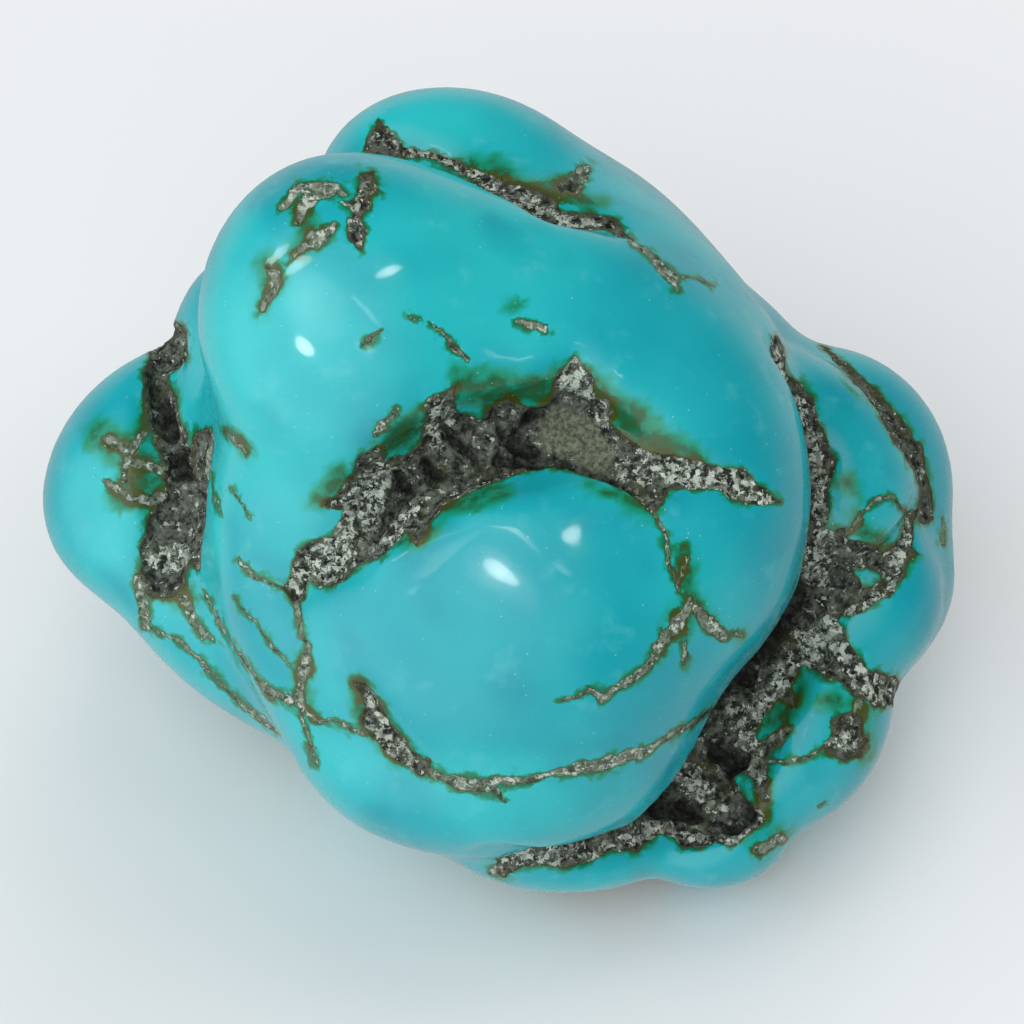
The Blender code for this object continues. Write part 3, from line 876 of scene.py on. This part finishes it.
def build_stone():
    mesh = net_of(stone_field())
    refine(mesh)
    _, marks = marks_of(mesh)
    sink(mesh, marks)
    for name, values in marks.items():
        write_attribute(mesh, name, values)
    mesh.shade_smooth()
    obj = bpy.data.objects.new("stone", mesh)
    bpy.context.scene.collection.objects.link(obj)
    return obj


# ---- materials ----

PER_MM = 1000.0  # texture scale of one feature per millimetre, in metres


class Nodes:
    """A short hand for building a node tree."""

    def __init__(self, tree):
        self.tree = tree

    def add(self, kind, **inputs):
        node = self.tree.nodes.new(kind)
        for name, value in inputs.items():
            self.set(node, name, value)
        return node

    def set(self, node, name, value):
        """Links or sets an input by its name or, as i0, i1 and so on, by its number."""
        numbered = name[0] == "i" and name[1:].isdigit()
        socket = node.inputs[int(name[1:]) if numbered else name.replace("_", " ")]
        if isinstance(value, bpy.types.NodeSocket):
            self.tree.links.new(value, socket)
        else:
            socket.default_value = value

    def math(self, operation, a, b, clamp=False):
        node = self.add("ShaderNodeMath", i0=a, i1=b)
        node.operation = operation
        node.use_clamp = clamp
        return node.outputs[0]

    def remap(self, value, low, high, to_low=0.0, to_high=1.0):
        ends = {"From_Min": low, "From_Max": high, "To_Min": to_low, "To_Max": to_high}
        node = self.add("ShaderNodeMapRange", Value=value, **ends)
        node.interpolation_type = "SMOOTHSTEP"
        return node.outputs[0]

    def mix(self, factor, a, b):
        node = self.add("ShaderNodeMix", i0=factor, i6=a, i7=b)
        node.data_type = "RGBA"
        return node.outputs[2]

    def noise(self, where, scale, detail, roughness):
        """Noise with bumps of a scale per millimetre."""
        kind = "ShaderNodeTexNoise"
        node = self.add(kind, Vector=where, Scale=scale * PER_MM, Detail=detail, Roughness=roughness)
        return node.outputs[0]

    def cells(self, where, scale, distance="EUCLIDEAN"):
        node = self.add("ShaderNodeTexVoronoi", Vector=where, Scale=scale * PER_MM)
        node.distance = distance
        return node

    def ramp(self, value, steps):
        """Colour and strength at each (place, colour, strength)."""
        node = self.add("ShaderNodeValToRGB", i0=value)
        points = node.color_ramp.elements
        while len(points) < len(steps):
            points.new(1.0)
        for point, (place, colour, strength) in zip(points, steps):
            point.position = place
            point.color = (*colour[:3], strength)
        return node.outputs

    def split(self, colour):
        return self.add("ShaderNodeSeparateColor", i0=colour).outputs

    def dots(self, where, scale, radius, share):
        """Scattered dots, of a radius in parts of their spacing, in a share of the places."""
        cells = self.cells(where, scale)
        disc = self.remap(cells.outputs["Distance"], 0.5 * radius, radius, 1.0, 0.0)
        chosen = self.math("LESS_THAN", self.split(cells.outputs["Color"])[0], share)
        return self.math("MULTIPLY", disc, chosen)

    def attribute(self, name):
        node = self.tree.nodes.new("ShaderNodeAttribute")
        node.attribute_name = name
        return node.outputs["Fac"]


def srgb(*values):
    """A linear colour from 0-255 sRGB values."""
    shares = [value / 255 for value in values]
    return (*(s / 12.92 if s < 0.04 else ((s + 0.055) / 1.055) ** 2.4 for s in shares), 1)


BLUE = srgb(22, 166, 178)
PALE_BLUE = srgb(44, 194, 198)
DEEP_BLUE = srgb(8, 138, 156)
MILK = srgb(120, 214, 214)
GREEN = srgb(20, 142, 96)
MOSS = srgb(26, 94, 44)
OLIVE = srgb(66, 76, 22)
STAIN_STEPS = ((0.0, GREEN, 0.0), (0.3, GREEN, 0.8), (0.65, MOSS, 0.93), (1.0, OLIVE, 1.0))
SPECK = srgb(200, 232, 232)
CHARCOAL = srgb(26, 28, 26)
GREY_BROWN = srgb(112, 121, 109)
EDGE_BROWN = srgb(84, 80, 56)
OLIVE_BROWN = srgb(76, 82, 50)
DULL_SILVER = srgb(98, 107, 95)
SILVER_GREY = srgb(212, 224, 211)
WALL_DARK = srgb(70, 77, 61)
WALL_PALE = srgb(130, 140, 117)
VEIN_DARK = srgb(70, 88, 68)
VEIN_PALE = srgb(150, 165, 144)
# painted shade: near black for the pits and slits; the gaps between flakes take it too
PIT_SHADE_BLACK = srgb(20, 19, 20)
WAXY = 0.2
SCUFFED = 0.3
EDGE_FRAY = 0.16  # mm by which fine noise frays the matrix's border
EDGE_BLUR = 0.015  # mm
RIGHT_SIDE_SHADE = (-0.012, 0.02)  # metres across the stone, over which its blue deepens to the right: painted shade on its right side
SPECK_RADIUS = 0.09
SPECK_SHARE = 0.45
BEND = (0.00025, 0.00025, 0.00025)  # metres by which noise bends the flakes' outlines
CRUST_ROUGHNESS = 0.7
FLAKE_ROUGHNESS = 0.38
STONE_IOR = 1.32
COAT = 0.6
COAT_ROUGHNESS = 0.06
RIM_SLANT = 0.45  # how far the surface slants away from the viewer before its coat's gloss fades
BUMP_STRENGTH = 0.9
BUMP_HEIGHT = 0.0003  # metres


def clouded_blue(n, where):
    """Broad clouds of paler and deeper blue, with milky wisps, and a deeper blue to the right that is
    painted shade.
    """
    blue = n.mix(n.remap(n.noise(where, 0.1, 2.0, 0.5), 0.35, 0.68), BLUE, PALE_BLUE)
    deep = n.noise(where, 0.24, 1.0, 0.5)
    blue = n.mix(n.remap(deep, 0.52, 0.8, 0.0, 0.5), blue, DEEP_BLUE)
    # painted shade: the blue deepens towards the stone's right side
    side = n.add("ShaderNodeSeparateXYZ", i0=where).outputs["X"]
    blue = n.mix(n.remap(side, *RIGHT_SIDE_SHADE, 0.0, 0.45), blue, DEEP_BLUE)
    milk = n.noise(where, 0.5, 3.0, 0.6)
    return n.mix(n.remap(milk, 0.55, 0.85, 0.0, 0.3), blue, MILK)


def stained(n, where, blue, edge, stain):
    """The blue with a green to olive stain: where it is placed, and in a halo round the matrix."""
    patchy = n.noise(where, 1.1, 3.0, 0.6)
    width = n.remap(patchy, 0.35, 0.7, 0.08, 0.5)
    halo = n.remap(n.math("DIVIDE", n.math("MULTIPLY", edge, -1.0), width), 0.0, 1.1, 0.66, 0.0)
    placed = n.math("MULTIPLY", stain, n.remap(patchy, 0.3, 0.62, 0.5, 1.0))
    green = n.math("ADD", halo, n.math("MULTIPLY", placed, 0.82), clamp=True)
    tint, strength = n.ramp(green, STAIN_STEPS)
    return n.mix(strength, blue, tint)


def flakes(n, where, silver, pit_and_painted_shade):
    """Clumps of angular flakes: the gaps in them, the flakes, and each flake's tone."""
    push = n.add("ShaderNodeTexNoise", Vector=where, Scale=3 * PER_MM, Detail=1.0).outputs["Color"]
    bent = n.add("ShaderNodeVectorMath", i0=push, i1=BEND, i2=where)
    bent.operation = "MULTIPLY_ADD"
    bent = bent.outputs[0]
    chance, tone, _ = n.split(n.cells(bent, 4.0, "CHEBYCHEV").outputs["Color"])
    clump = n.noise(bent, 2.4, 3.0, 0.75)
    gap = n.math("MULTIPLY", n.remap(clump, 0.46, 0.38), n.math("MULTIPLY", silver, 0.8))
    bare = n.math("ADD", n.remap(silver, 0.0, 1.0, 0.55, 0.43), n.math("MULTIPLY", chance, 0.14))
    flake = n.remap(n.math("SUBTRACT", clump, bare), -0.01, 0.02)
    flake = n.math("MULTIPLY", flake, n.math("SUBTRACT", 1.0, n.math("MULTIPLY", pit_and_painted_shade, 0.8)))
    return gap, flake, tone


def matrix_crust(n, where, edge, fine, grit, gap, flake, tone, marks):
    """Charcoal crust: browner at its border, olive in places, with flakes, a smooth wall, and pits painted
    near black as their shade.
    """
    crust = n.mix(n.remap(grit, 0.35, 0.68), CHARCOAL, GREY_BROWN)
    crust = n.mix(n.remap(edge, 0.02, 0.22, 0.75, 0.0), crust, EDGE_BROWN)
    crust = n.mix(n.remap(n.noise(where, 0.7, 2.0, 0.6), 0.5, 0.78, 0.0, 0.7), crust, OLIVE_BROWN)
    crust = n.mix(gap, crust, PIT_SHADE_BLACK)
    vein = n.mix(n.remap(grit, 0.38, 0.66), VEIN_DARK, VEIN_PALE)
    crust = n.mix(n.math("MULTIPLY", marks["vein"], 0.8), crust, vein)
    crust = n.mix(n.math("MULTIPLY", flake, 0.95), crust, n.mix(tone, DULL_SILVER, SILVER_GREY))
    wall = n.mix(n.remap(fine, 0.3, 0.7), WALL_DARK, WALL_PALE)
    crust = n.mix(n.math("MULTIPLY", marks["wall"], 0.85), crust, wall)
    # painted shade: the pits and slits are painted near black
    painted_pit_shade = n.math("MULTIPLY", marks["pit_and_painted_shade"], n.remap(grit, 0.3, 0.7, 0.95, 0.7))
    return n.mix(painted_pit_shade, crust, PIT_SHADE_BLACK)


def stone_material():
    material = bpy.data.materials.new("turquoise")
    material.use_nodes = True
    tree = material.node_tree
    shader = tree.nodes["Principled BSDF"]
    n = Nodes(tree)
    where = n.add("ShaderNodeTexCoord").outputs["Object"]
    names = ("matrix", "stain", "silver", "pit_and_painted_shade", "wall", "vein")
    marks = {name: n.attribute(name) for name in names}
    fine = n.noise(where, 4.5, 2.0, 0.6)
    fray = n.math("MULTIPLY", n.math("SUBTRACT", fine, 0.5), EDGE_FRAY)
    edge = n.math("ADD", marks["matrix"], fray)
    mask = n.remap(edge, -EDGE_BLUR, EDGE_BLUR)

    blue = stained(n, where, clouded_blue(n, where), edge, marks["stain"])
    specks = n.math("MULTIPLY", n.dots(where, 1.8, SPECK_RADIUS, SPECK_SHARE), 0.42)
    blue = n.mix(specks, blue, SPECK)
    grit = n.noise(where, 2.2, 4.0, 0.7)
    gap, flake, tone = flakes(n, where, marks["silver"], marks["pit_and_painted_shade"])
    crust = matrix_crust(n, where, edge, fine, grit, gap, flake, tone, marks)
    n.set(shader, "Base Color", n.mix(mask, blue, crust))

    polish = n.remap(n.noise(where, 1.2, 2.0, 0.7), 0.4, 0.75, WAXY, SCUFFED)
    shine = n.math("MULTIPLY", flake, CRUST_ROUGHNESS - FLAKE_ROUGHNESS)
    dull = n.math("SUBTRACT", CRUST_ROUGHNESS, shine)
    n.set(shader, "Roughness", n.add("ShaderNodeMix", i0=mask, i2=polish, i3=dull).outputs[0])
    shader.inputs["IOR"].default_value = STONE_IOR
    slant = n.add("ShaderNodeLayerWeight", Blend=0.5).outputs["Facing"]
    coat = n.remap(slant, RIM_SLANT, 1.0, COAT, 0.0)
    n.set(shader, "Coat Weight", n.math("MULTIPLY", n.math("SUBTRACT", 1.0, mask), coat))
    shader.inputs["Coat Roughness"].default_value = COAT_ROUGHNESS

    bump = n.add("ShaderNodeBump", Strength=BUMP_STRENGTH, Distance=BUMP_HEIGHT)
    n.set(bump, "Height", n.math("MULTIPLY", n.remap(marks["matrix"], 0.0, 0.05), grit))
    n.set(shader, "Normal", bump.outputs[0])
    return material


# ---- light and floor ----

PALE_FLOOR = srgb(235, 237, 239)
FLOOR_ROUGHNESS = 0.7
FLOOR_REACH = 1.5


def add_floor():
    mesh = bpy.data.meshes.new("floor")
    bm = bmesh.new()
    bmesh.ops.create_grid(bm, x_segments=1, y_segments=1, size=FLOOR_REACH)
    bm.to_mesh(mesh)
    bm.free()
    floor = bpy.data.objects.new("floor", mesh)
    bpy.context.scene.collection.objects.link(floor)
    material = bpy.data.materials.new("floor")
    material.use_nodes = True
    shader = material.node_tree.nodes["Principled BSDF"]
    shader.inputs["Base Color"].default_value = PALE_FLOOR
    shader.inputs["Roughness"].default_value = FLOOR_ROUGHNESS
    mesh.materials.append(material)
    floor.visible_glossy = False


MIDST = Vector((0, 0, 0.018))  # the point that the soft lights aim at

# soft lights all round: direction from the stone, radiance. They light it but aren't mirrored in it.
SOFT_LIGHTS = {
    "soft front": ((0.0, -0.57, 0.82), 1.8),
    "soft front left": ((-0.64, -0.64, 0.42), 0.6),
    "soft back": ((0.2, 0.85, 0.42), 2.8),
    "soft right": ((0.75, 0.1, 0.65), 2.1),
    "soft left": ((-0.8, 0.0, 0.6), 0.85),
    "soft top": ((0.1, 0.3, 0.95), 2.2),
}
SOFT_SIZE = 0.7
SOFT_DISTANCE = 1.0
WORLD = 0.08
WINDOW_GLOW = 1.4
WINDOW_SIDE = (-0.62, -0.62, 0.48)
WINDOW_EDGE = 0.3  # cosine of the angle from there at which the glow ends
LOW_GLOW = 0.45  # the world's glow from below, which the stone mirrors in place of the floor
LOW_EDGE = (0.5, -0.3)  # the heights, of 1, between which it sets in
SOFT = 0.76  # scales the soft lights together

# small lamps mirrored in the polish, each with a narrow beam: the point in mm that it aims at, its
# direction from there, its long side's direction, its width and length in mm, and its radiance
LAMPS = {
    "crown round": ((-9.3, -5.9, 33.9), (-0.38, -0.67, 0.64), (1, 0, 0), 6.5, 7.5, 19),
    "crown glow": ((-9.0, -5.0, 34.5), (-0.3, -0.5, 0.8), (1, 0, 0), 22, 22, 2.8),
    "crown streak": ((-5.4, -3.1, 36.2), (0.2, -0.26, 0.945), (0.82, 0.57, 0), 2.8, 17, 17),
    "crown left": ((-9.7, -2.7, 36.3), (-0.37, -0.29, 0.88), (1, 0.2, 0), 6, 13, 10),
    "crown far left": ((-10.8, -2.1, 36.3), (-0.65, 0, 0.76), (1, 0.2, 0), 7, 16, 11),
    "knob window": ((0, -13.3, 26.2), (-0.07, -0.6, 0.795), (0.75, -0.53, -0.38), 3.2, 11, 20),
    "knob glow": ((0, -13.3, 26.2), (-0.07, -0.6, 0.795), (0.75, -0.53, -0.38), 7, 24, 2.6),
    "knob streak": ((0.4, -11.9, 27.2), (-0.03, -0.43, 0.9), (0.83, -0.51, -0.22), 1.8, 26, 8),
    "knob dot": ((3.4, -11.9, 27.0), (0.31, -0.42, 0.85), (0.95, 0.3, 0), 2.6, 6.5, 15),
    "knob smear": ((2.9, -13.2, 26.2), (0.23, -0.54, 0.81), (0.8, -0.2, 0), 1.8, 5, 3.5),
}
LAMP_DISTANCE = 0.05
LAMP_SPREAD = math.radians(13)  # the beam's half angle


def add_light(name, aim, direction, along, width, length, distance, radiance):
    """An oval light that faces a point, with its long side along a direction."""
    data = bpy.data.lights.new(name, "AREA")
    data.shape = "ELLIPSE"
    data.size = width
    data.size_y = length
    data.energy = radiance * math.pi**2 / 4 * width * length
    light = bpy.data.objects.new(name, data)
    back = Vector(direction).normalized()
    across = Vector(along).cross(back).normalized()
    turn = Matrix((across, back.cross(across), back)).transposed().to_4x4()
    light.matrix_world = Matrix.Translation(aim + back * distance) @ turn
    light.visible_camera = False
    bpy.context.scene.collection.objects.link(light)
    return light


def add_world():
    """A dim room with a broad window to the front left, and a glow from below."""
    world = bpy.data.worlds.new("studio")
    world.use_nodes = True
    back = world.node_tree.nodes["Background"]
    back.inputs["Color"].default_value = (0.99, 0.99, 1.0, 1)
    n = Nodes(world.node_tree)
    way = n.add("ShaderNodeTexCoord").outputs["Generated"]
    side = n.add("ShaderNodeVectorMath", i0=way, i1=WINDOW_SIDE)
    side.operation = "DOT_PRODUCT"
    glow = n.remap(side.outputs["Value"], WINDOW_EDGE, 1.0, WORLD, WINDOW_GLOW)
    height = n.add("ShaderNodeSeparateXYZ", i0=way).outputs["Z"]
    n.set(back, "Strength", n.math("ADD", glow, n.remap(height, *LOW_EDGE, 0.0, LOW_GLOW)))
    world.cycles.sampling_method = "NONE"  # it is smooth and dim, so rays meet it often enough by chance
    bpy.context.scene.world = world


def add_soft_lights():
    size = (SOFT_SIZE, SOFT_SIZE)
    for name, (direction, radiance) in SOFT_LIGHTS.items():
        light = add_light(name, MIDST, direction, (1, 0.1, 0), *size, SOFT_DISTANCE, radiance * SOFT)
        light.visible_glossy = False
        light.data.cycles.use_multiple_importance_sampling = False  # wide enough to sample one way


def add_lamps():
    # a narrow beam concentrates a lamp's power, which this takes back
    narrowing = 1 - LAMP_SPREAD / math.tan(LAMP_SPREAD)
    for name, (aim, direction, along, width, length, radiance) in LAMPS.items():
        spot = Vector(aim) * MM
        size = (width * MM, length * MM)
        lamp = add_light(name, spot, direction, along, *size, LAMP_DISTANCE, radiance * narrowing)
        lamp.data.spread = 2 * LAMP_SPREAD
        lamp.visible_diffuse = False


bpy.context.scene.view_settings.view_transform = "Standard"
add_camera()
add_floor()
add_world()
add_soft_lights()
add_lamps()
stone = build_stone()
stone.data.materials.append(stone_material())
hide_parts("turquoise_nugget")
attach(stone, "root")
